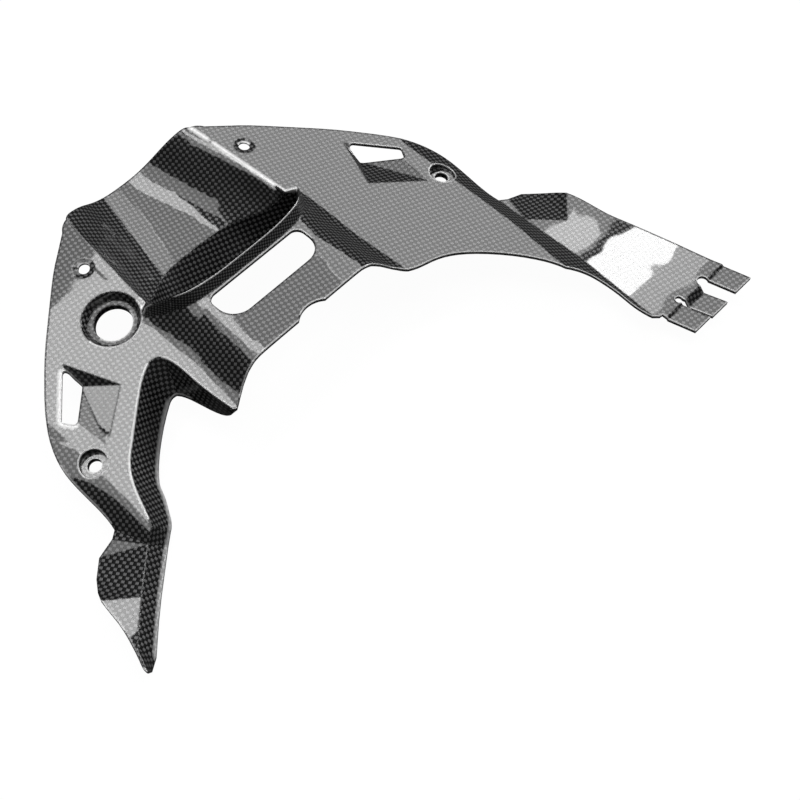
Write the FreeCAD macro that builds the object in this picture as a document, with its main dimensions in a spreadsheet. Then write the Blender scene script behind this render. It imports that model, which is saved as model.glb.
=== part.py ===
import FreeCAD, Part
import math
import os

from FreeCAD import Vector

os.makedirs("parts", exist_ok=True)

doc = FreeCAD.newDocument("fairing")

# Sizes in millimetres, one row per named value
SIZES = [
    ("wall", 2.0, "thickness of the moulded skin, measured straight down"),
    ("half_width", 135.4, "middle to the straight outer side"),
    ("side_fall", 22.264, "fall of each wing from the middle to that side"),
    ("trough_half", 54.5, "middle to the corner where the trough drops into the pocket"),
    ("side_round", 55.0, "plan radius from slanted edge to straight side"),
    ("side_round_y", -37.1, "where the straight side starts"),
    ("shoulder_x", 49.5, "start of the slanted edge"),
    ("shoulder_y", 69.0, "start of the slanted edge"),
    ("bevel_width", 10.6, "plan width of the side bevel"),
    ("bevel_drop", 8.2, "extra drop of the bevel at the ear"),
    ("tail_level", 29.5, "depth of the flat tails below the centre ridge line of the wings"),
    ("trough_deep", 19.8, "depth of the trough at its outer edge"),
    ("trough_sink", 20.5, "depth of the trough at its inner drop edge"),
    ("pocket_deep", 31.04, "depth of the pocket below the wing at the middle"),
    ("ridge_high", 9.6, "height of the thin ridge at the middle"),
    ("hood_front_high", 4.0, "height of the raised hood behind the ridge"),
    ("hood_back_high", 5.4, "height of the raised hood at its free edge"),
    ("hood_free_y", -61.7, "free inner edge of the hood"),
    ("scallop_rad", 13.6, "radius of the shallow scallop"),
    ("scallop_deep", 3.4, "depth of the shallow scallop"),
    ("window_half", 31.0, "half width of the window in the hood"),
    ("window_front_y", -19.9, "front edge of the window"),
    ("window_back_y", -39.2, "back edge of the window"),
    ("window_round", 5.0, "front corner radius of the window"),
    ("window_back_round", 11.0, "back corner radius of the window"),
    ("pin_out", 1.4, "small fixing hole, outwards of the trough corner"),
    ("pin_y", 45.4, "small fixing hole"),
    ("pin_dia", 6.1, "small fixing hole"),
    ("dimple_dia", 11.6, "round dimple about the small hole"),
    ("dimple_deep", 0.9, "depth of that dimple"),
    ("cup_in", 12.2, "screw cup centre, in from the straight side"),
    ("cup_y", -36.5, "screw cup centre"),
    ("cup_dia", 14.3, "screw cup bore"),
    ("cup_hole_dia", 7.2, "hole through the cup floor"),
    ("cup_deep", 3.8, "wing surface to cup floor"),
    ("cup_floor", 3.4, "thickness of the cup floor"),
    ("cup_wall", 2.0, "thickness of the cup wall"),
    ("port_in", 3.8, "large round port, left wing only: rim side inwards of the trough corner"),
    ("port_back", 6.9, "rim side behind the trough corner"),
    ("port_rim_dia", 30.6, "widest part of the port"),
    ("port_ledge_dia", 25.4, "bore above the ledge"),
    ("port_open_dia", 19.8, "through opening below the ledge"),
    ("port_ledge_deep", 4.6, "wing surface to ledge"),
    ("port_deep", 8.6, "wing surface to the end of the collar"),
    ("scoop_deep", 6.2, "depth of the scoop beside the wing slot"),
    ("slot_round", 1.9, "corner radius of the wing slot"),
    ("slit_wide", 6.1, "gap between the first two tabs"),
    ("slit_thin", 2.9, "gap between the last two tabs"),
    ("tab_start_y", -178.5, "where the tabs leave the tail"),
    ("tab_long", 15.8, "length of the tabs"),
    ("tab_lean", 4.2, "sideways lean of each tab over its length"),
    ("tab_step", 0.9, "step of the outer two tabs"),
    ("tab_drop", 3.6, "step of the middle tab"),
    ("datum_x", 8.46, "plan middle of the whole part, from the plane of symmetry"),
    ("datum_y", -55.44, "plan middle of the whole part"),
    ("datum_z", -42.12, "lowest point of the whole part"),
]

sheet = doc.addObject("Spreadsheet::Sheet", "Sizes")
for row, (name, value, note) in enumerate(SIZES, start=1):
    sheet.set("A%d" % row, name)
    sheet.set("B%d" % row, str(value))
    sheet.set("C%d" % row, note)
    sheet.setAlias("B%d" % row, name)
doc.recompute()
size = {name: float(sheet.get(name)) for name, value, note in SIZES}

wall = size["wall"]
half_width = size["half_width"]
fall = size["side_fall"] / half_width
crease_x = half_width - size["bevel_width"]
tail_z = -size["tail_level"]
down = Vector(0, 0, -wall)


# The point tables below grow with the trough, and outside it in width with the wings
unit = size["trough_half"] / 54.5
reach = (half_width / size["trough_half"] - 1.0) / 1.48440367


# Small helpers for points, edges and faces
def drawn_x(x):
    beyond = abs(x * unit) - size["trough_half"]
    if beyond <= 0:
        return x * unit
    return math.copysign(size["trough_half"] + beyond * reach, x)


def at(x, y, z=0.0):
    return Vector(drawn_x(x), y * unit, z * unit)


def wing_at(x, y):
    return wing(drawn_x(x), y * unit)


def tail_at(x, y, below=0.0):
    return tail(drawn_x(x), y * unit) - Vector(0, 0, below)


def wing(x, y):
    return Vector(x, y, -fall * abs(x))


def tail(x, y):
    return Vector(x, y, tail_z)


def spline(points):
    curve = Part.BSplineCurve()
    curve.interpolate(points)
    return curve.toShape()


def line(a, b):
    return Part.LineSegment(a, b).toShape()


def chain(points):
    return [line(a, b) for a, b in zip(points, points[1:])]


def flat(edges):
    return Part.Face(Part.Wire(Part.__sortEdges__(edges)))


def polygon(points):
    return Part.Face(Part.makePolygon(points + [points[0]]))


def ruled(first, second):
    return Part.makeRuledSurface(first, second)


def both_halves(points):
    mirrored = [Vector(-p.x, p.y, p.z) for p in points[:-1]]
    return points + mirrored[::-1]


# Bowed outer edge of a wing, its round and the straight side
round_x = half_width - size["side_round"]
round_y = size["side_round_y"]


def on_round(angle_deg, side, drop=0.0):
    a = math.radians(angle_deg)
    x = round_x + size["side_round"] * math.cos(a)
    y = round_y + size["side_round"] * math.sin(a)
    return wing(side * x, y) - Vector(0, 0, drop)


bevel_deg = math.degrees(math.acos((crease_x - round_x) / size["side_round"]))
bevel_y = round_y + size["side_round"] * math.sin(math.radians(bevel_deg))
ear_y = -65.7 * unit
arm_y = -81.5 * unit


def bevel_drop_at(y):
    return size["bevel_drop"] * (bevel_y - y) / (bevel_y - ear_y)


def bevel_edge(side):
    points = []
    for i in range(5):
        angle = bevel_deg * (1.0 - i / 4.0)
        p = on_round(angle, side)
        points.append(p - Vector(0, 0, bevel_drop_at(p.y)))
    for x_out, y in [(0.0, -48.0 * unit), (0.2, -57.4 * unit), (1.5, ear_y)]:
        p = wing(side * (half_width + x_out), y)
        points.append(p - Vector(0, 0, bevel_drop_at(y)))
    return points


# Trough, pocket, ridge and hood curves, given for the right half
corner = wing_at(54.5, 5.0)
ridge_start = wing_at(54.6, 3.2)
foot_start = wing_at(54.7, 1.4)
trough_top = wing_at(43.0, 73.5)
trough_low = wing_at(48.6, 7.0)

TROUGH_OUTER = [
    (43.0, 73.5, 0.0), (40.5, 75.6, 0.03), (36.0, 77.0, 0.115), (30.0, 78.5, 0.29),
    (22.0, 81.3, 0.66), (12.0, 82.8, 0.92), (0.0, 83.3, 1.0),
]
TROUGH_INNER = [
    (48.6, 7.0, 0.0), (46.5, 9.5, 0.34), (42.0, 12.5, 0.585), (34.0, 17.3, 0.746),
    (28.0, 21.6, 0.873), (20.0, 24.9, 0.98), (12.0, 25.9, 1.01), (0.0, 26.0, 1.0),
]
POCKET = [
    (54.5, 5.0, 0.0), (51.2, 2.0, 0.24), (48.5, 1.9, 0.484), (43.0, 2.8, 0.726), (34.0, 5.2, 0.887),
    (20.0, 8.2, 0.972), (0.0, 9.0, 1.0),
]
RIDGE = [
    (54.6, 3.2, 0.0), (53.0, 2.0, 0.33), (51.0, 0.1, 0.48), (48.0, -3.8, 0.65), (43.0, -9.4, 0.92),
    (38.5, -12.2, 1.0), (33.0, -13.6, 1.0), (24.0, -14.9, 1.0), (12.0, -15.5, 1.0), (0.0, -15.5, 1.0),
]
RIDGE_FOOT = [
    (54.7, 1.4, 0.0), (53.4, -0.6, 0.09), (51.6, -3.4, 0.21), (49.0, -6.8, 0.36),
    (45.0, -11.0, 0.62), (40.0, -15.0, 0.86), (34.0, -17.4, 0.965), (24.0, -18.4, 1.0),
    (12.0, -18.7, 1.0), (0.0, -18.7, 1.0),
]


def sunk(rows, start, depth):
    return both_halves([at(x, y) + Vector(0, 0, start.z - depth * part) for x, y, part in rows])


def raised(rows, start, height):
    return both_halves([at(x, y) + Vector(0, 0, start.z + (height - start.z) * part) for x, y, part in rows])


trough_outer = spline(sunk(TROUGH_OUTER, trough_top, size["trough_deep"]))
trough_inner = spline(sunk(TROUGH_INNER, trough_low, size["trough_sink"]))
pocket = spline(sunk(POCKET, corner, size["pocket_deep"]))
ridge = spline(raised(RIDGE, ridge_start, size["ridge_high"]))
ridge_foot = spline(raised(RIDGE_FOOT, foot_start, size["hood_front_high"]))

# Hood sections across the part: crease, hollow foot, wall, rounded shoulder, top
HOOD = [(0.0, 0.0), (3.0, 0.045), (6.0, 0.18), (10.0, 0.43), (14.0, 0.67), (17.5, 0.84), (21.0, 0.94)]


hood_spread = 0.0553


def hood_side(y):
    return corner.x + (corner.y - y) * hood_spread


def hood_section(y, height):
    foot = wing(hood_side(y), y)
    rows = [Vector(foot.x - dx * unit, y, foot.z + (height - foot.z) * part) for dx, part in HOOD]
    rows += [Vector(x * unit, y, height - drop) for x, drop in ((31.0, 0.15), (18.0, 0.0), (0.0, 0.0))]
    return spline(both_halves(rows))


hood_start_y = -24.0 * unit
hood_lip_y = -72.0 * unit
hood_front = hood_section(hood_start_y, size["hood_front_high"] + 0.1)
hood_back = hood_section(hood_lip_y, size["hood_back_high"] + 0.3)
hood_sides = [(hood_side(y), y) for y in (hood_start_y, hood_lip_y)]

skin = [
    ruled(trough_outer, trough_inner),
    ruled(pocket, ridge),
    ruled(ridge, ridge_foot),
    ruled(ridge_foot, hood_front),
    ruled(hood_front, hood_back),
]
# Chute between the trough and the pocket, closed by the short crease at each end
skin.append(ruled(trough_inner, pocket))

# Right wing, flat up to its free inner edge
RIGHT_FREE = [
    (65.8, -74.2), (74.1, -75.7), (81.4, -78.2), (87.2, -81.4), (97.8, -89.8),
    (107.1, -99.3), (115.7, -110.5), (119.8, -117.6), (122.2, -124.0),
]
# Scoop beside the wing slot: corners flush with the wing, then its one sunk corner
SCOOP_FLUSH = [(98.3, 13.3), (86.9, -16.6), (112.6, -35.5), (114.2, -14.9), (99.8, 2.2), (100.6, 9.6)]
SCOOP_LOW = (98.6, 1.3)
# Corners of the slot itself, before rounding
SLOT = [(99.3, 12.6), (119.5, -9.4), (115.2, -16.5), (97.9, 0.5)]
# Bow of the outer edge between the shoulder and the side round
OUTER_BOW = [(57.5, 63.0), (66.0, 56.6), (78.0, 45.8), (92.0, 32.7), (102.0, 22.8), (110.5, 13.4), (118.0, 4.6)]


def outer_edges(side):
    start = wing_at(side * 43.0, 73.5)
    shoulder = wing(side * size["shoulder_x"], size["shoulder_y"])
    rounding = spline([start, wing_at(side * 45.6, 72.6), shoulder])
    bow = [wing_at(side * x, y) for x, y in OUTER_BOW]
    return [rounding, spline([shoulder] + bow + [on_round(bevel_deg, side)])]


def scoop_hole(side):
    return polygon([wing_at(side * x, y) for x, y in SCOOP_FLUSH])


def scoop_facets(side):
    low = wing_at(side * SCOOP_LOW[0], SCOOP_LOW[1]) - Vector(0, 0, size["scoop_deep"])
    tip, apex, cup, end, inner, edge = [wing_at(side * x, y) for x, y in SCOOP_FLUSH]
    pairs = [(tip, apex), (apex, cup), (cup, end), (edge, tip)]
    return [polygon([a, b, low]) for a, b in pairs]


def bevel_start(side):
    return wing(side * (crease_x - 1.2), bevel_y - 1.6)


right_crease = [
    on_round(bevel_deg, 1), bevel_start(1), wing(crease_x, ear_y), wing(crease_x, -86.0 * unit),
    wing_at(122.2, -124.0),
]
right_inner = [
    line(trough_top, trough_low),
    line(trough_low, corner),
    line(corner, ridge_start),
    line(ridge_start, foot_start),
    line(foot_start, wing(*hood_sides[0])),
    line(wing(*hood_sides[0]), wing(*hood_sides[1])),
    spline([wing(*hood_sides[1])] + [wing_at(x, y) for x, y in RIGHT_FREE]),
]
right_wing = flat(outer_edges(1) + chain(right_crease) + right_inner).cut(scoop_hole(1)).Faces[0]

# Left wing ends at the crest of its curved inner wall
LEFT_CREST_STRIP = [(-59.9, -67.6), (-60.7, -60.0), (-61.3, -52.0), (-61.6, -42.0), (-61.6, -30.0), (-63.0, -22.6)]
LEFT_CREST_ARM = [
    (-63.0, -22.6), (-65.6, -19.4), (-69.3, -18.5), (-74.2, -20.1), (-79.5, -23.2), (-85.9, -28.2),
    (-93.7, -34.6), (-103.7, -43.0), (-110.6, -48.9), (-115.5, -55.4), (-119.6, -64.0),
    (-123.3, -74.2), (-126.3, -81.5),
]
crest_strip = spline([wing_at(x, y) for x, y in LEFT_CREST_STRIP])
crest_arm = spline([wing_at(x, y) for x, y in LEFT_CREST_ARM])
strip_tip_y = -68.8 * unit
strip_tip = wing(-hood_side(strip_tip_y), strip_tip_y)
strip_crest = wing_at(*LEFT_CREST_STRIP[0])
arm_end = wing_at(*LEFT_CREST_ARM[-1])
left_crease = [on_round(bevel_deg, -1), bevel_start(-1), wing(-crease_x, ear_y), arm_end]
left_inner = [
    line(wing_at(-43.0, 73.5), wing(-trough_low.x, trough_low.y)),
    line(wing(-trough_low.x, trough_low.y), wing(-corner.x, corner.y)),
    line(wing(-corner.x, corner.y), wing(-ridge_start.x, ridge_start.y)),
    line(wing(-ridge_start.x, ridge_start.y), wing(-foot_start.x, foot_start.y)),
    line(wing(-foot_start.x, foot_start.y), wing(-hood_sides[0][0], hood_sides[0][1])),
    line(wing(-hood_sides[0][0], hood_sides[0][1]), strip_tip),
    line(strip_tip, strip_crest),
    crest_strip,
    crest_arm,
]
left_wing = flat(outer_edges(-1) + chain(left_crease) + left_inner).cut(scoop_hole(-1)).Faces[0]

# Side bevels, ears, right strip and flat tails
EAR = [(141.0, -68.6, 1.4), (151.0, -70.0, 4.9), (159.0, -77.2, 5.1), (163.6, -84.0, 2.5), (165.7, -89.0, 0.0)]


def side_patches(side, inner_corner, cheek):
    edge = spline(bevel_edge(side))
    ear_start = bevel_edge(side)[-1]
    faces = [ruled(line(bevel_start(side), wing(side * crease_x, ear_y)), edge)]
    rim = [ear_start] + [tail_at(side * x, y, below) for x, y, below in EAR]
    for a, b in zip(rim[:3], rim[1:3]):
        faces.append(polygon([a, b, inner_corner]))
    faces.append(polygon([rim[2], cheek, inner_corner]))
    for a, b in zip(rim[2:], rim[3:]):
        faces.append(polygon([a, b, cheek]))
    return faces, ear_start, rim[-1]


right_valley = tail_at(136.4, -85.3)
right_cheek = tail_at(151.6, -101.6)
faces, ear_start, ear_end = side_patches(1, right_valley, right_cheek)
bevels = faces
strip_mid = tail_at(137.9, -122.0)
strip_end = tail(half_width, size["tab_start_y"])
strip_in = wing(drawn_x(121.6), size["tab_start_y"])
bevels.append(ruled(line(right_crease[2], right_crease[3]), line(ear_start, right_valley)))
bevels.append(ruled(line(right_crease[3], right_crease[4]), line(right_valley, strip_mid)))
bevels.append(ruled(line(right_crease[4], strip_in), line(strip_mid, strip_end)))
RIGHT_TAIL = [
    (168.6, -101.5), (170.4, -114.3), (173.1, -124.4), (176.2, -135.7), (179.0, -146.7),
    (181.4, -156.0), (184.2, -168.1),
]
# Tabs at the end of the right tail: first and last x of each, and how far it steps down
slit_x = drawn_x(171.3)
thin_x = drawn_x(154.1)
TABS = [
    (drawn_x(187.2), slit_x + size["slit_wide"] / 2, size["tab_step"]),
    (slit_x - size["slit_wide"] / 2, thin_x + size["slit_thin"] / 2, size["tab_drop"]),
    (thin_x - size["slit_thin"] / 2, drawn_x(140.3), size["tab_step"]),
]
tab_y = size["tab_start_y"]
tail_end = [tail(x, tab_y) for first, last, step in TABS for x in (first, last)]
right_tail = flat(
    [spline([ear_end] + [tail_at(x, y) for x, y in RIGHT_TAIL] + [tail_end[0]])]
    + chain(tail_end + [strip_end, strip_mid, right_valley, right_cheek, ear_end])
)
bevels.append(right_tail)
for first, last, step in TABS:
    riser = max(1.0, 0.9 * step)
    lean = size["tab_lean"]
    steps = [(0.0, 0.0, 0.0), (riser, 0.0, step), (size["tab_long"], lean, step)]
    rows = [(tab_y - along, shift, -drop) for along, shift, drop in steps]
    for (y0, shift0, z0), (y1, shift1, z1) in zip(rows, rows[1:]):
        lift0 = Vector(0, 0, z0)
        lift1 = Vector(0, 0, z1)
        bevels.append(polygon([
            tail(first + shift0, y0) + lift0, tail(last + shift0, y0) + lift0,
            tail(last + shift1, y1) + lift1, tail(first + shift1, y1) + lift1,
        ]))

left_corner = tail_at(-132.2, -84.6, -2.5)
left_cheek = tail_at(-151.3, -100.9)
faces, ear_start, ear_end = side_patches(-1, left_corner, left_cheek)
bevels += faces
bevels.append(ruled(line(left_crease[2], left_crease[3]), line(ear_start, left_corner)))
LEFT_TAIL = [(-166.4, -94.5), (-167.6, -104.4), (-170.3, -115.2), (-173.2, -124.0), (-174.4, -128.4)]
left_bend = tail_at(-159.8, -108.9)
left_bend_low = tail_at(-170.0, -118.8)
left_tip = tail_at(-174.2, -130.3)
left_tail = flat(
    [spline([ear_end] + [tail_at(x, y) for x, y in LEFT_TAIL] + [left_tip])]
    + chain([left_tip, left_bend_low, left_bend, left_cheek, ear_end])
)
bevels.append(left_tail)

# Curved inner wall of the left arm, from the crest down to the free edge
FREE_STRIP = [
    (-59.7, -66.9, -13.4), (-60.3, -65.2, -16.6), (-61.0, -62.2, -19.6), (-62.1, -57.0, -21.8),
    (-64.6, -43.0, -24.2), (-65.9, -37.0, -25.7), (-67.2, -33.6, -27.0),
]
FREE_ARM = [
    (-67.2, -33.6, -27.0), (-69.6, -33.0, -27.6), (-74.1, -34.8, -28.7), (-81.8, -39.8, -30.3),
    (-88.5, -44.8, -31.8), (-94.7, -50.1, -32.5), (-101.8, -57.4, -33.2), (-105.7, -63.0, -33.6),
    (-107.9, -68.5, -33.8), (-111.2, -74.7, -34.1), (-113.7, -79.0, -34.4),
]
FREE_TAIL = [
    (-117.9, -83.2, 5.3), (-124.0, -88.0, 5.9), (-143.0, -103.9, 7.8), (-152.0, -111.9, 8.7),
    (-164.6, -123.9, 9.7), (-170.9, -128.2, 8.1),
]
crest_tail = [arm_end, left_corner, left_cheek, left_bend, left_bend_low, left_tip]
low_tail = [tail_at(*p) for p in FREE_TAIL]
left_wall = [
    ruled(crest_strip, spline([at(*p) for p in FREE_STRIP])),
    ruled(crest_arm, spline([at(*p) for p in FREE_ARM] + [low_tail[0]])),
]
for i in range(5):
    left_wall.append(ruled(line(crest_tail[i], crest_tail[i + 1]), line(low_tail[i], low_tail[i + 1])))
left_wall.append(polygon([strip_tip, strip_crest, at(*FREE_STRIP[0])]))

patches = skin + [right_wing, left_wing] + bevels + left_wall
patches += scoop_facets(1) + scoop_facets(-1)


# One sewn skin, closed with a shifted copy and straight rims
def thicken(faces, shift):
    top = Part.makeShell(faces)
    top.sewShape()
    seen = {}
    for face in top.Faces:
        for edge in face.Edges:
            seen.setdefault(edge.hashCode(), []).append(edge)
    rims = [found[0].extrude(shift) for found in seen.values() if len(found) == 1]
    shell = Part.makeShell(top.Faces + top.translated(shift).Faces + rims)
    shell.sewShape()
    solid = Part.makeSolid(shell)
    if solid.Volume < 0:
        solid.reverse()
    return solid


def feature(name, shape):
    item = doc.addObject("Part::Feature", name)
    item.Shape = shape
    return item


def prism(points, low=-70.0, high=40.0):
    face = polygon([Vector(x, y, low) for x, y in points])
    return face.extrude(Vector(0, 0, high - low))


skin_item = feature("moulded_skin", thicken(patches, down))
above = thicken(patches, Vector(0, 0, 40))


def tilted(side, x, y, offset):
    angle = math.degrees(math.atan(fall)) * side
    turn = FreeCAD.Rotation(Vector(0, 1, 0), angle)
    return FreeCAD.Placement(wing(side * x, y) + turn.multVec(Vector(0, 0, offset)), turn)


def cylinder(name, radius, height, place):
    item = doc.addObject("Part::Cylinder", name)
    item.setExpression("Radius", radius)
    item.setExpression("Height", height)
    item.Placement = place
    return item


# Cups and collar below the skin, kept clear of the outer face
cup_x = half_width - size["cup_in"]
pin_x = size["trough_half"] + size["pin_out"]
cup_y = size["cup_y"]
cup_low = size["cup_deep"] + size["cup_floor"]
collars = []
cuts = []
for side, hand in ((1, "right"), (-1, "left")):
    cup_place = tilted(side, cup_x, cup_y, -cup_low)
    body = cylinder(
        hand + "_cup_body", "Sizes.cup_dia / 2 + Sizes.cup_wall", "Sizes.cup_deep + Sizes.cup_floor", cup_place
    )
    collars.append(body)
    floor_place = tilted(side, cup_x, cup_y, -size["cup_deep"])
    cuts.append(cylinder(hand + "_cup_bore", "Sizes.cup_dia / 2", "Sizes.cup_deep * 3", floor_place))
    through_place = tilted(side, cup_x, cup_y, -2 * cup_low)
    cuts.append(cylinder(hand + "_cup_hole", "Sizes.cup_hole_dia / 2", "Sizes.cup_deep * 5", through_place))
    pin_place = tilted(side, pin_x, size["pin_y"], -10.0)
    cuts.append(cylinder(hand + "_pin_hole", "Sizes.pin_dia / 2", "Sizes.pin_dia + 14", pin_place))
    dimple_rad = size["dimple_dia"] ** 2 / 8 / size["dimple_deep"] + size["dimple_deep"] / 2
    dimple = doc.addObject("Part::Sphere", hand + "_dimple")
    dimple.setExpression("Radius", "Sizes.dimple_dia ^ 2 / 8 / Sizes.dimple_deep + Sizes.dimple_deep / 2")
    dimple.Placement = tilted(side, pin_x, size["pin_y"], dimple_rad - size["dimple_deep"])
    cuts.append(dimple)

port_x = size["trough_half"] - size["port_in"] + size["port_rim_dia"] / 2
port_y = corner.y - size["port_back"] + size["port_rim_dia"] / 2
collar_place = tilted(-1, port_x, port_y, -size["port_deep"])
collars.append(cylinder("port_collar", "Sizes.port_rim_dia / 2 + 1.6", "Sizes.port_deep", collar_place))
flare = doc.addObject("Part::Cone", "port_flare")
flare.setExpression("Radius1", "Sizes.port_ledge_dia / 2")
flare.setExpression("Radius2", "Sizes.port_rim_dia / 2 + (Sizes.port_rim_dia - Sizes.port_ledge_dia) / 2")
flare.setExpression("Height", "Sizes.port_ledge_deep * 2")
flare.Placement = tilted(-1, port_x, port_y, -size["port_ledge_deep"])
cuts.append(flare)
open_place = tilted(-1, port_x, port_y, -size["port_deep"] * 2)
cuts.append(cylinder("port_opening", "Sizes.port_open_dia / 2", "Sizes.port_deep * 4", open_place))
collar_set = doc.addObject("Part::MultiFuse", "collar_set")
collar_set.Shapes = collars
outer_space = feature("space_above_skin", above)
collar_trim = doc.addObject("Part::Cut", "collars_below_skin")
collar_trim.Base = collar_set
collar_trim.Tool = outer_space

# Trimming tools: hood edge, scallop, window, slots, strip edge and slit ends
free_y = size["hood_free_y"]
HOOD_TRIM = [
    (-58.7, -7.3), (-57.2, -6.4), (-53.6, -4.3), (-49.0, -2.2), (-44.0, -0.7), (-39.0, -0.1), (-35.0, 0.0),
    (35.0, 0.0), (41.0, -0.5), (46.3, -2.2), (54.0, -6.2), (58.7, -10.4), (60.0, -12.3), (60.0, -28.3),
    (-63.0, -28.3), (-59.0, -7.6),
]
cuts.append(feature("hood_trim", prism([(x * unit, free_y + y * unit) for x, y in HOOD_TRIM])))
scallop = cylinder(
    "scallop", "Sizes.scallop_rad", "60",
    FreeCAD.Placement(Vector(0, free_y + size["scallop_deep"] - size["scallop_rad"], -30), FreeCAD.Rotation()),
)
cuts.append(scallop)



def upright_edges(solid, low_y, high_y):
    found = []
    for edge in solid.Edges:
        first, last = edge.Vertexes[0].Point, edge.Vertexes[-1].Point
        if abs(first.z - last.z) > 20 and low_y < first.y < high_y:
            found.append(edge)
    return found


half = size["window_half"]
front_y = size["window_front_y"]
back_y = size["window_back_y"]
middle_y = (front_y + back_y) / 2
window = prism([(-half, front_y), (half, front_y), (half, back_y), (-half, back_y)], -20.0, 40.0)
window = window.makeFillet(size["window_round"], upright_edges(window, middle_y, 0.0))
window = window.makeFillet(size["window_back_round"], upright_edges(window, back_y - 0.1, back_y + 0.1))
cuts.append(feature("hood_window", window))

for side, hand in ((1, "right"), (-1, "left")):
    corners = [at(side * x, y) for x, y in SLOT]
    slot = prism([(p.x, p.y) for p in corners], -45.0, 10.0)
    slot = slot.makeFillet(size["slot_round"], upright_edges(slot, -90.0, 90.0))
    cuts.append(feature(hand + "_slot", slot))

STRIP_EDGE = [
    (122.1, -124.06), (126.2, -127.6), (130.3, -133.5), (132.8, -143.0), (133.4, -152.6), (132.9, -161.4),
    (133.9, -168.6), (135.6, -172.8),
]
STRIP_REST = [(138.4, 2.9), (140.2, 2.7), (140.2, -21.5), (105.0, -21.5)]
under = Vector(0, 0, -70)
edge_points = [at(x, y) + under for x, y in STRIP_EDGE]
rest_points = [Vector(drawn_x(x), tab_y + y, -70) for x, y in STRIP_REST]
rest_points.append(at(105.0, -124.06) + under)
edge_curve = spline(edge_points)
strip_outline = chain([edge_points[-1]] + rest_points + [edge_points[0]])
strip_face = Part.Face(Part.Wire(Part.__sortEdges__([edge_curve] + strip_outline)))
cuts.append(feature("strip_trim", strip_face.extrude(Vector(0, 0, 60))))

SLIT_ENDS = [
    ("wide_slit_end", slit_x, tab_y + 0.7, "Sizes.slit_wide / 2"),
    ("thin_slit_end", thin_x - 0.7, tab_y + 2.4, "Sizes.slit_thin * 0.68"),
]
for name, x, y, radius in SLIT_ENDS:
    place = FreeCAD.Placement(Vector(x, y, -60), FreeCAD.Rotation())
    cuts.append(cylinder(name, radius, "50", place))
neck = [
    (thin_x - 1.6, tab_y + 2.4), (thin_x + 0.6, tab_y + 2.4),
    (thin_x + 1.45, tab_y - 0.1), (thin_x - 1.45, tab_y - 0.1),
]
cuts.append(feature("thin_slit_neck", prism(neck, -60, -10)))

body = doc.addObject("Part::MultiFuse", "skin_with_collars")
body.Shapes = [skin_item, collar_trim]
tools = doc.addObject("Part::MultiFuse", "cutting_tools")
tools.Shapes = cuts
shell = doc.addObject("Part::Cut", "fairing_shell")
shell.Base = body
shell.Tool = tools
for axis in "xyz":
    shell.setExpression("Placement.Base." + axis, "-Sizes.datum_" + axis)
doc.recompute()

for item in doc.Objects:
    if "Invalid" in item.State or "Error" in item.State:
        raise RuntimeError("%s did not compute" % item.Label)
final = shell.Shape
if final.isNull() or not final.isValid() or len(final.Solids) != 1:
    raise RuntimeError("the shell is not one valid solid: %d" % len(final.Solids))
print("fairing_shell", round(final.Volume), final.BoundBox)
final.exportStep("parts/fairing_shell.step")
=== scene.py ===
import math
import bpy
import bmesh
import numpy as np
from mathutils import Matrix, Vector
from mathutils.kdtree import KDTree


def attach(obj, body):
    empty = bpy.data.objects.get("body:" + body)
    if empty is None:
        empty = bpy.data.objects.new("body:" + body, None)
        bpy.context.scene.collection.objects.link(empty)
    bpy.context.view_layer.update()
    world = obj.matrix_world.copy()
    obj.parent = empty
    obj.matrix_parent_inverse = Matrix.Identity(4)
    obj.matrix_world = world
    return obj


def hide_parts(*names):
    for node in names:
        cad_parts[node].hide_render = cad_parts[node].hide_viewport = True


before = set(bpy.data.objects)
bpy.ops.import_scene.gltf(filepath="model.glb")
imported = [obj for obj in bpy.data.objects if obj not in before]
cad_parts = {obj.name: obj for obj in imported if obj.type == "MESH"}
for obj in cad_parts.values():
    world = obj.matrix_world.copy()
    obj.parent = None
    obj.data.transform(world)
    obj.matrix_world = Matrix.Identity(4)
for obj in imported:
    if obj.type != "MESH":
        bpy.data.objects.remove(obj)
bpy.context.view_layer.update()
print("frame loaded")

# Places below are in mm from the ridge of the wings at the plane of symmetry
mm = 0.001
offset = Vector((-8.46, 55.44, 42.12)) * mm
far = math.inf


def place(x, y, z):
    return Vector((x, y, z)) * mm + offset


def within(zone, x, y, z):
    (left, right), (front, back), (low, high) = zone
    return (left < x) & (x < right) & (front < y) & (y < back) & (low < z) & (z < high)


# Shader helpers
class Nodes:
    def __init__(self, tree):
        self.tree = tree
        tree.nodes.clear()

    def add(self, kind, **values):
        node = self.tree.nodes.new(kind)
        for name, value in values.items():
            if name in node.inputs:
                node.inputs[name].default_value = value
            else:
                setattr(node, name, value)
        return node

    def link(self, output, target, name=0):
        self.tree.links.new(output, target.inputs[name])

    def calc(self, operation, first, second=None, third=None):
        node = self.add("ShaderNodeMath", operation=operation)
        for index, value in enumerate((first, second, third)):
            if value is None:
                continue
            if isinstance(value, (int, float)):
                node.inputs[index].default_value = value
            else:
                self.link(value, node, index)
        return node.outputs[0]

    def blend(self, factor, low, high):
        node = self.add("ShaderNodeMix", data_type="RGBA")
        self.link(factor, node, 0)
        for index, value in ((6, low), (7, high)):
            if isinstance(value, tuple):
                node.inputs[index].default_value = value
            else:
                self.link(value, node, index)
        return node.outputs[2]


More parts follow.
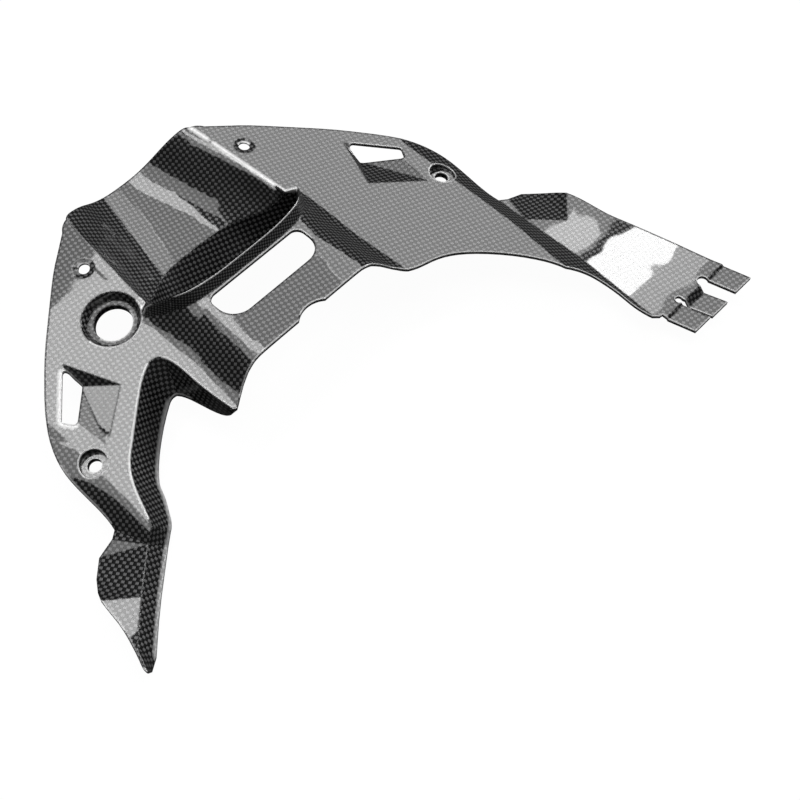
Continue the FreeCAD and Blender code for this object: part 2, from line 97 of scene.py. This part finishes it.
# Woven carbon under clear lacquer, with painted highlights on creases and rims and painted shade on dull
# faces
weaveLook = {
    "towPitch": 1.85,        # mm between tows
    "towTurn": 31.0,         # degrees from +X
    # Painted sheen and painted shade: warp and weft are the same black fibre, given a lit and a shaded tone
    "warpSheenColour": (0.175, 0.175, 0.177, 1),
    "weftShadeColour": (0.010, 0.010, 0.0105, 1),
    "gapColour": (0.0012, 0.0012, 0.0012, 1),
    "towSquare": 11.0,       # how squarely a tow ends lengthways
    "towRound": 2.6,         # how squarely it falls off sideways
    "towRoughness": 0.42,
    "towMetal": 0.4,
    "towShine": 0.1,
    "towGrain": 0.5,         # how far the fibres stretch a reflection
    "towBump": (0.3, 0.0003),            # strength, m
    "fibreStretch": (14.0, 0.5, 1.0),
    "fibreShade": (0.5, 0.75),           # swing and least tone of the fibres
    "ridgeHighlightColour": (0.92, 0.92, 0.92, 1),  # painted highlight on the raised creases and rims
    "ridgeHighlightWidth": 0.95,      # mm, reach of the painted highlight
    "ridgeHighlightFade": 0.8,
    "lacquerWave": 0.00012,  # m, long soft unevenness of the lacquer
    "lacquerWaveScale": 38.0,
    "lacquerRoughness": 0.02,
    "lacquerIndex": 1.6,
    "dullPaintedShade": 0.25,       # painted shade: how much darker a fully dull face is painted
    "dullLacquer": 0.9,      # how much of its lacquer is missing
    "edgeRound": 1.3,        # mm of rounding drawn on creases and rims
    "edgeSamples": 6,
}


def towEdge(nodes, way, power):
    fromMiddle = nodes.calc("ABSOLUTE", nodes.calc("SUBTRACT", nodes.calc("FRACT", way), 0.5))
    return nodes.calc("SUBTRACT", 1.0, nodes.calc("POWER", nodes.calc("MULTIPLY", fromMiddle, 2.0), power))


# Where the warp is on top, and the height of the tow that shows. The warp runs along v
def weaveShape(nodes, uv):
    look = weaveLook
    split = nodes.add("ShaderNodeSeparateXYZ")
    nodes.link(uv, split)
    u, v = split.outputs["X"], split.outputs["Y"]
    cell = nodes.calc("ABSOLUTE", nodes.calc("ADD", nodes.calc("FLOOR", u), nodes.calc("FLOOR", v)))
    onTop = nodes.calc("GREATER_THAN", nodes.calc("MODULO", cell, 2.0), 0.5)
    powerV = nodes.calc("MULTIPLY_ADD", onTop, look["towSquare"] - look["towRound"], look["towRound"])
    powerU = nodes.calc("SUBTRACT", look["towSquare"] + look["towRound"], powerV)
    pillow = nodes.calc("MULTIPLY", towEdge(nodes, u, powerU), towEdge(nodes, v, powerV))
    return onTop, pillow


def weaveColour(nodes, uv, onTop, pillow):
    look = weaveLook
    stretch = nodes.add("ShaderNodeMapping", Scale=look["fibreStretch"])
    fibres = nodes.add("ShaderNodeTexNoise", noise_dimensions="2D", Scale=1.0, Detail=2.0)
    nodes.link(uv, stretch)
    nodes.link(stretch.outputs["Vector"], fibres, "Vector")
    # Painted sheen on the warp tows, painted shade on the weft tows
    tows = nodes.blend(onTop, look["weftShadeColour"], look["warpSheenColour"])
    shade = nodes.calc("MULTIPLY_ADD", fibres.outputs["Fac"], *look["fibreShade"])
    return nodes.blend(nodes.calc("MULTIPLY", pillow, shade), look["gapColour"], tows)


def finishColour(nodes, weave, shadedMatt):
    look = weaveLook
    ridgeFar = nodes.add("ShaderNodeAttribute", attribute_name="ridgeFar").outputs["Fac"]
    near = nodes.calc("SUBTRACT", 1.0, nodes.calc("DIVIDE", ridgeFar, look["ridgeHighlightWidth"]))
    # Painted highlight: pale colour near the marked creases and rims
    highlightLine = nodes.calc("POWER", nodes.calc("MAXIMUM", near, 0.0), look["ridgeHighlightFade"])
    # Painted shade: dull faces darkened towards the gap colour
    shaded = nodes.blend(nodes.calc("MULTIPLY", shadedMatt, look["dullPaintedShade"]), weave, look["gapColour"])
    return nodes.blend(highlightLine, shaded, look["ridgeHighlightColour"])


# Normals of the tows and of the wavy lacquer over them, both with rounded edges
def finishNormals(nodes, pillow):
    look = weaveLook
    rim = nodes.add("ShaderNodeBevel", samples=look["edgeSamples"], Radius=look["edgeRound"] * mm)
    spot = nodes.add("ShaderNodeTexCoord")
    wave = nodes.add("ShaderNodeTexNoise", noise_dimensions="3D", Scale=look["lacquerWaveScale"], Detail=1.0)
    nodes.link(spot.outputs["Object"], wave, "Vector")
    lacquer = nodes.add("ShaderNodeBump", Strength=1.0, Distance=look["lacquerWave"])
    nodes.link(wave.outputs["Fac"], lacquer, "Height")
    strength, depth = look["towBump"]
    tows = nodes.add("ShaderNodeBump", Strength=strength, Distance=depth)
    nodes.link(pillow, tows, "Height")
    for bump in (lacquer, tows):
        nodes.link(rim.outputs["Normal"], bump, "Normal")
    return tows.outputs["Normal"], lacquer.outputs["Normal"]


def makeWovenCarbon():
    look = weaveLook
    material = bpy.data.materials.new("wovenCarbon")
    material.use_nodes = True
    nodes = Nodes(material.node_tree)
    uv = nodes.add("ShaderNodeUVMap", uv_map="weaveMap").outputs["UV"]
    shadedMatt = nodes.add("ShaderNodeAttribute", attribute_name="shadedMatt").outputs["Fac"]
    onTop, pillow = weaveShape(nodes, uv)
    weave = weaveColour(nodes, uv, onTop, pillow)
    towNormal, lacquerNormal = finishNormals(nodes, pillow)
    tangent = nodes.add("ShaderNodeTangent", direction_type="UV_MAP", uv_map="weaveMap")
    body = nodes.add("ShaderNodeBsdfPrincipled")
    body.inputs["Metallic"].default_value = look["towMetal"]
    body.inputs["Roughness"].default_value = look["towRoughness"]
    body.inputs["Specular IOR Level"].default_value = look["towShine"]
    body.inputs["Anisotropic"].default_value = look["towGrain"]
    body.inputs["Coat Roughness"].default_value = look["lacquerRoughness"]
    body.inputs["Coat IOR"].default_value = look["lacquerIndex"]
    nodes.link(nodes.calc("MULTIPLY", onTop, 0.25), body, "Anisotropic Rotation")  # a quarter turn
    nodes.link(nodes.calc("MULTIPLY_ADD", shadedMatt, -look["dullLacquer"], 1.0), body, "Coat Weight")
    nodes.link(finishColour(nodes, weave, shadedMatt), body, "Base Color")
    nodes.link(towNormal, body, "Normal")
    nodes.link(lacquerNormal, body, "Coat Normal")
    nodes.link(tangent.outputs["Tangent"], body, "Tangent")
    nodes.link(body.outputs["BSDF"], nodes.add("ShaderNodeOutputMaterial"), "Surface")
    return material


# The moulded shell: a joined copy of the CAD skin, cut finer, with evened normals
shellLook = {
    "mergeGap": 0.01,     # mm
    "creaseDeg": 7.0,     # a sharper edge between two patches is a crease
    "longEdge": 2.4,      # mm, the longest edge that isn't cut
    "cutRounds": 9,
    "evenRounds": 30,     # rounds of evening the normals between creases
}

# Painted highlight lines: how far they reach on a raised crease, a broad one and the left wing's inner lip
ridgeLook = {
    "plainReach": 1,
    "wideReach": 2,
    "lipReach": 3,
    "spacing": 0.4,       # mm between the points that stand for a crease
    "farthest": 9.0,
    "ridgeDeg": 50.0,     # the least angle of a raised crease
    "steep": 0.3,         # a face whose normal rises less than this is a side
    "rimWidth": 2.3,      # mm, the widest side that is a rim
    "rimWay": (-0.62, -0.78, 0.0),  # the rims that face this way have a painted highlight line
    "rimTurn": 0.45,
    "lipEdge": -60,       # mm, the lip lies left of this
    "lipTurn": 0.5,
    "broadPatch": 9,      # mm wide
}

# Where no raised crease has a painted highlight line: round the port, in the trough and on the left arm
plainZones = {
    "portCorner": ((-far, -38), (12, far), (-far, far)),
    "trough": ((-45, 45), (-far, far), (-far, -15)),
    "leftArm": ((-far, -120), (-far, -78), (-far, far)),
}

# Patches whose middle lies in a zone, and how dull they are: less lacquer and painted shade
shadedMattZones = {
    "pocket": (((-3, 3), (-6, 16), (-35, -12)), 1.0),
    "rightRecess": (((105, 112), (-20, -14), (-22, far)), 0.75),
    "portLedge": (((-66.5, -64.1), (12.4, 14.4), (-far, -14)), 0.7),
}

# The right edge of the trough and the left outer band are broad soft folds
foldLook = {
    "lean": 0.85,         # the most that a normal leans to the wing's
    "wingNormal": (0.162, 0.0, 0.987),  # right wing, mirrored on the left
    "wingSpot": (-82.3, -13.5),         # x and z of a point on the left wing
    "wallZone": ((20, 62), (13, far), (-30, far)),
    "wallTurn": -0.2,     # the wall's normals have a lower x than this
    "wallReach": 7.0,     # mm from the crease
    "bandZone": ((-far, -108), (-100, 8), (-far, far)),
    "bandTurn": -0.3,
    "bandRise": 0.4,
    "bandDrop": 4.0,      # mm down from the wing's plane
    "bandLift": 0.5,      # mm above that plane that still count
}


def markPatches(work):
    layer = work.faces.layers.int.new("patch")
    count = 0
    for start in work.faces:
        if start[layer]:
            continue
        count += 1
        start[layer] = count
        waiting = [start]
        while waiting:
            face = waiting.pop()
            for edge in face.edges:
                for other in edge.link_faces:
                    if not other[layer]:
                        other[layer] = count
                        waiting.append(other)
    return layer


def markCreases(work, layer):
    limit = math.radians(shellLook["creaseDeg"])
    for face in work.faces:
        face.smooth = True
    for edge in work.edges:
        patches = {face[layer] for face in edge.link_faces}
        edge.smooth = len(patches) == 1 or edge.calc_face_angle(math.pi) < limit
        edge.seam = not edge.smooth


def refine(work, longest):
    for step in range(shellLook["cutRounds"]):
        longEdges = [edge for edge in work.edges if edge.calc_length() > longest]
        if not longEdges:
            break
        bmesh.ops.subdivide_edges(work, edges=longEdges, cuts=1)
        wide = [face for face in work.faces if len(face.verts) > 3]
        bmesh.ops.triangulate(work, faces=wide)


# Mean width and middle of each patch
def measurePatches(work, layer):
    area, rim, middle = {}, {}, {}
    for face in work.faces:
        size = face.calc_area()
        area[face[layer]] = area.get(face[layer], 0) + size
        middle[face[layer]] = middle.get(face[layer], Vector()) + face.calc_center_median() * size
    for edge in work.edges:
        patches = {face[layer] for face in edge.link_faces}
        if len(patches) == 2:
            for patch in patches:
                rim[patch] = rim.get(patch, 0) + edge.calc_length()
    width = {patch: 2 * area[patch] / rim[patch] / mm for patch in area}
    return width, {patch: (middle[patch] / area[patch] - offset) / mm for patch in area}


# How far the painted highlight line reaches on a crease or free edge, 0 for none
def highlightReach(edge, layer, width):
    look = ridgeLook
    first, second = edge.link_faces
    if first[layer] == second[layer] or max(first.normal.z, second.normal.z) < look["steep"]:
        return 0
    x, y, z = ((edge.verts[0].co + edge.verts[1].co) / 2 - offset) / mm
    narrow = min((first, second), key=lambda face: width[face[layer]])
    if width[narrow[layer]] < look["rimWidth"] and abs(narrow.normal.z) < look["steep"]:
        if x < look["lipEdge"] and narrow.normal.x > look["lipTurn"]:
            return look["lipReach"]
        facing = narrow.normal.dot(Vector(look["rimWay"]))
        return look["plainReach"] if facing > look["rimTurn"] else 0
    if any(within(zone, x, y, z) for zone in plainZones.values()):
        return 0
    if math.degrees(edge.calc_face_angle_signed(0)) < look["ridgeDeg"]:
        return 0
    broad = width[narrow[layer]] > look["broadPatch"] and x > 0
    return look["wideReach"] if broad else look["plainReach"]


# Points along every crease that has a painted highlight line, listed by its reach
def highlightPoints(work, layer, width):
    points = {}
    for edge in work.edges:
        if len(edge.link_faces) != 2 or edge.smooth:
            continue
        reach = highlightReach(edge, layer, width)
        if reach:
            steps = max(2, int(edge.calc_length() / (ridgeLook["spacing"] * mm)))
            start, end = edge.verts[0].co, edge.verts[1].co
            points.setdefault(reach, []).extend(start.lerp(end, step / steps) for step in range(steps + 1))
    return points


# Each vertex gets its distance to the nearest painted highlight line, divided by that line's reach
def markRidgeHighlights(work, layer, width):
    ridge = work.verts.layers.float.new("ridgeFar")
    for vert in work.verts:
        vert[ridge] = ridgeLook["farthest"]
    for reach, spots in highlightPoints(work, layer, width).items():
        tree = KDTree(len(spots))
        for index, spot in enumerate(spots):
            tree.insert(spot, index)
        tree.balance()
        for vert in work.verts:
            vert[ridge] = min(vert[ridge], tree.find(vert.co)[2] / mm / reach)


# Dull faces lose lacquer and get painted shade
def markShadedMatt(work, layer, middle):
    shadedMatt = work.faces.layers.float.new("shadedMatt")
    for zone, amount in shadedMattZones.values():
        for face in work.faces:
            if within(zone, *middle[face[layer]]):
                face[shadedMatt] = amount


def layWeave(shell):
    bpy.context.view_layer.objects.active = shell
    shell.select_set(True)
    bpy.ops.object.mode_set(mode="EDIT")
    bpy.ops.mesh.select_all(action="SELECT")
    bpy.ops.uv.unwrap(method="CONFORMAL", margin=0.0)
    bpy.ops.object.mode_set(mode="OBJECT")
    shell.select_set(False)


# Faces joined without a seam, as one list for each region
def weaveRegions(work):
    done = set()
    for start in work.faces:
        if start in done:
            continue
        done.add(start)
        region = [start]
        for face in region:
            for edge in face.edges:
                if edge.seam:
                    continue
                for other in edge.link_faces:
                    if other not in done:
                        done.add(other)
                        region.append(other)
        yield region


# Each region's map gets its real size, its place and turn in plan, and tows as the unit
def scaleWeave(work, layer):
    turn = math.radians(weaveLook["towTurn"])
    cos, sin = math.cos(turn), math.sin(turn)
    pitch = weaveLook["towPitch"] * mm
    for region in weaveRegions(work):
        loops = [loop for face in region for loop in face.loops]
        flat = np.array([loop[layer].uv[:] for loop in loops])
        solid = np.array([loop.vert.co.xy[:] for loop in loops])
        corners = flat.reshape(-1, 3, 2)
        sides = corners[:, 1:] - corners[:, :1]
        mapArea = np.abs(np.linalg.det(sides)).sum() / 2
        realArea = sum(face.calc_area() for face in region)
        scale = math.sqrt(realArea / max(mapArea, 1e-12))
        middle = solid.mean(axis=0)
        spread = (flat - flat.mean(axis=0)) * scale
        left, right = np.linalg.svd(spread.T @ (solid - middle))[::2]
        fitted = spread @ left @ right + middle
        along = (fitted[:, 0] * cos + fitted[:, 1] * sin) / pitch
        across = (fitted[:, 1] * cos - fitted[:, 0] * sin) / pitch
        for loop, u, v in zip(loops, along, across):
            loop[layer].uv = (u, v)


def leanNormals(normals, target, lean):
    normals = normals * (1 - lean[:, None]) + target * lean[:, None]
    return normals / np.linalg.norm(normals, axis=1)[:, None]


def softenFolds(mesh, verts, normals):
    look = foldLook
    count = len(mesh.vertices)
    spots, near = np.zeros(count * 3), np.zeros(count)
    mesh.vertices.foreach_get("co", spots)
    mesh.attributes["ridgeFar"].data.foreach_get("value", near)
    x, y, z = ((spots.reshape(-1, 3) - np.array(offset)) / mm)[verts].T
    near = near[verts]
    rightWing = np.array(look["wingNormal"])
    leftWing = rightWing * (-1, 1, 1)
    reach = look["wallReach"] / ridgeLook["wideReach"]
    wanted = within(look["wallZone"], x, y, z) & (normals[:, 0] < look["wallTurn"]) & (near < reach)
    lean = np.where(wanted, look["lean"] * (1 - near / reach), 0)
    normals = leanNormals(normals, rightWing, lean)
    spotX, spotZ = look["wingSpot"]
    drop = (spotX - x) * leftWing[0] + (spotZ - z) * leftWing[2]
    wanted = within(look["bandZone"], x, y, z) & (drop > -look["bandLift"])
    wanted &= (normals[:, 0] < look["bandTurn"]) & (normals[:, 2] > look["bandRise"])
    lean = np.where(wanted, 1 - drop / look["bandDrop"], 0)
    return leanNormals(normals, leftWing, np.clip(lean, 0, look["lean"]))


# Normals are evened between corners, and those of one vertex that differ stay apart
def evenNormals(mesh, rounds):
    steps = 5000  # per unit, to compare two normals
    span = 2 * steps + 1
    count = len(mesh.loops)
    normals = np.zeros(count * 3)
    mesh.corner_normals.foreach_get("vector", normals)
    normals = normals.reshape(-1, 3)
    verts = np.zeros(count, dtype=np.int64)
    mesh.loops.foreach_get("vertex_index", verts)
    coded = np.round(normals * steps).astype(np.int64) + steps
    keys = ((verts * span + coded[:, 0]) * span + coded[:, 1]) * 3 + np.sign(coded[:, 2] - steps)
    first, group = np.unique(keys, return_index=True, return_inverse=True)[1:]
    field = normals[first]
    corners = group.reshape(-1, 3)
    pairs = np.concatenate([corners[:, [0, 1]], corners[:, [1, 2]], corners[:, [2, 0]]])
    start, end = np.concatenate([pairs, pairs[:, ::-1]]).T
    total = np.bincount(start, minlength=len(field))[:, None]
    for step in range(rounds):
        sums = [np.bincount(start, weights=axis[end], minlength=len(field)) for axis in field.T]
        field = (field + np.stack(sums, axis=1) / total) / 2
        field /= np.linalg.norm(field, axis=1)[:, None]
    mesh.normals_split_custom_set(softenFolds(mesh, verts, field[group]).tolist())


def makeShell():
    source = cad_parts["fairing_shell"]
    mesh = source.data.copy()
    mesh.name = "mouldedShell"
    mesh.materials.clear()
    mesh.materials.append(makeWovenCarbon())
    shell = bpy.data.objects.new("mouldedShell", mesh)
    bpy.context.scene.collection.objects.link(shell)
    while mesh.uv_layers:
        mesh.uv_layers.remove(mesh.uv_layers[0])
    mesh.uv_layers.new(name="weaveMap")
    work = bmesh.new()
    work.from_mesh(mesh)
    patch = markPatches(work)
    bmesh.ops.remove_doubles(work, verts=work.verts, dist=shellLook["mergeGap"] * mm)
    markCreases(work, patch)
    work.to_mesh(mesh)
    layWeave(shell)
    work.clear()
    work.from_mesh(mesh)
    scaleWeave(work, work.loops.layers.uv["weaveMap"])
    refine(work, shellLook["longEdge"] * mm)
    patch = work.faces.layers.int["patch"]
    width, middle = measurePatches(work, patch)
    markRidgeHighlights(work, patch, width)
    markShadedMatt(work, patch, middle)
    work.to_mesh(mesh)
    work.free()
    evenNormals(mesh, shellLook["evenRounds"])
    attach(shell, "root")
    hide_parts("fairing_shell")
    return shell


shell = makeShell()
print("shell made", len(shell.data.polygons))

# Camera at the photograph's angle
cameraLook = {
    "spot": (-298.582, -379.820, 653.046),
    "right": (0.686319, -0.726854, 0.025482),
    "up": (0.616151, 0.599691, 0.510616),
    "back": (-0.386425, -0.334744, 0.859431),
    "lens": 71.958,
    "sensor": 36.0,
    "clipStart": 0.01,
}


def makeCamera():
    look = cameraLook
    camera = bpy.data.cameras.new("photoCamera")
    camera.lens = look["lens"]
    camera.sensor_width = look["sensor"]
    camera.clip_start = look["clipStart"]
    item = bpy.data.objects.new("photoCamera", camera)
    turned = Matrix((look["right"], look["up"], look["back"])).transposed().to_4x4()
    item.matrix_world = Matrix.Translation(place(*look["spot"])) @ turned
    bpy.context.scene.collection.objects.link(item)
    bpy.context.scene.camera = item


makeCamera()
print("camera set")

# Pale floor that keeps the shadow
floorLook = {
    "size": 6.0,
    "seenGlow": 0.97,
    "seenColour": (0.06, 0.06, 0.06, 1),
    "litColour": (0.07, 0.07, 0.07, 1),
}


def makeFloor():
    look = floorLook
    work = bmesh.new()
    bmesh.ops.create_grid(work, x_segments=1, y_segments=1, size=look["size"] / 2)
    mesh = bpy.data.meshes.new("paleFloor")
    work.to_mesh(mesh)
    work.free()
    floor = bpy.data.objects.new("paleFloor", mesh)
    bpy.context.scene.collection.objects.link(floor)
    material = bpy.data.materials.new("paleFloor")
    material.use_nodes = True
    nodes = Nodes(material.node_tree)
    rays = nodes.add("ShaderNodeLightPath")
    lit = nodes.add("ShaderNodeBsdfDiffuse", Color=look["litColour"])
    seen = nodes.add("ShaderNodeBsdfDiffuse", Color=look["seenColour"])
    glow = nodes.add("ShaderNodeEmission", Strength=look["seenGlow"])
    both = nodes.add("ShaderNodeAddShader")
    nodes.link(seen.outputs[0], both, 0)
    nodes.link(glow.outputs[0], both, 1)
    mix = nodes.add("ShaderNodeMixShader")
    nodes.link(rays.outputs["Is Camera Ray"], mix, "Fac")
    nodes.link(lit.outputs[0], mix, 1)
    nodes.link(both.outputs[0], mix, 2)
    nodes.link(mix.outputs[0], nodes.add("ShaderNodeOutputMaterial"), "Surface")
    mesh.materials.append(material)


makeFloor()
print("floor made")

# Dim studio round the object, white behind it for the camera
studioLook = {"litColour": (0.06, 0.06, 0.06, 1), "seenColour": (1, 1, 1, 1)}


def makeStudio():
    world = bpy.data.worlds.new("studio")
    bpy.context.scene.world = world
    world.use_nodes = True
    nodes = Nodes(world.node_tree)
    rays = nodes.add("ShaderNodeLightPath")
    lit = nodes.add("ShaderNodeBackground", Color=studioLook["litColour"], Strength=1.0)
    seen = nodes.add("ShaderNodeBackground", Color=studioLook["seenColour"], Strength=1.0)
    mix = nodes.add("ShaderNodeMixShader")
    nodes.link(rays.outputs["Is Camera Ray"], mix, "Fac")
    nodes.link(lit.outputs[0], mix, 1)
    nodes.link(seen.outputs[0], mix, 2)
    nodes.link(mix.outputs[0], nodes.add("ShaderNodeOutputWorld"), "Surface")


makeStudio()
print("studio made")

# Soft lamps, far off: x and y of the direction to the lamp, its spread in x and y, radiance
lampDistance = 12.0
lampAim = (0, -20, -15)
lamps = {
    "overheadLeft": (0.035, 0.438, 0.33, 0.162, 6.8),
    "overheadBack": (0.035, 0.556, 0.33, 0.078, 1.8),
    "overheadFar": (-0.345, 0.40, 0.43, 0.26, 2.2),
    "overheadMiddle": (0.315, 0.40, 0.23, 0.24, 2.1),
    "overheadRight": (0.600, 0.43, 0.340, 0.23, 3.1),
    "recessGlow": (-0.24, 0.782, 0.10, 0.06, 5.5),
    "tailGlow": (0.540, 0.259, 0.10, 0.054, 5.5),
    "tailFlash": (0.542, 0.270, 0.060, 0.032, 11.0),
    "tailHaze": (0.545, 0.310, 0.11, 0.040, 2.8),
    "tailStreak": (0.521, 0.309, 0.04, 0.022, 5.0),
    "tabGlow": (0.55, 0.21, 0.12, 0.04, 2.6),
    "overheadFill": (0.05, -0.05, 0.50, 0.50, 2.8),
    "sideFill": (0.90, -0.18, 0.12, 0.40, 9.0),
}


def makeLamp(name, x, y, wide, tall, radiance):
    towards = Vector((x, y, math.sqrt(1 - x * x - y * y)))
    tallWay = Vector((0, towards.z, -towards.y)).normalized()
    wideWay = tallWay.cross(towards)
    lamp = bpy.data.lights.new(name, "AREA")
    lamp.shape = "RECTANGLE"
    lamp.size = wide / wideWay.x * lampDistance
    lamp.size_y = tall / tallWay.y * lampDistance
    lamp.energy = radiance * math.pi * lamp.size * lamp.size_y
    item = bpy.data.objects.new(name, lamp)
    turned = Matrix((wideWay, tallWay, towards)).transposed().to_4x4()
    item.matrix_world = Matrix.Translation(place(*lampAim) + towards * lampDistance) @ turned
    bpy.context.scene.collection.objects.link(item)


for name, values in lamps.items():
    makeLamp(name, *values)
print("lamps set")

bpy.context.scene.view_settings.view_transform = "Standard"
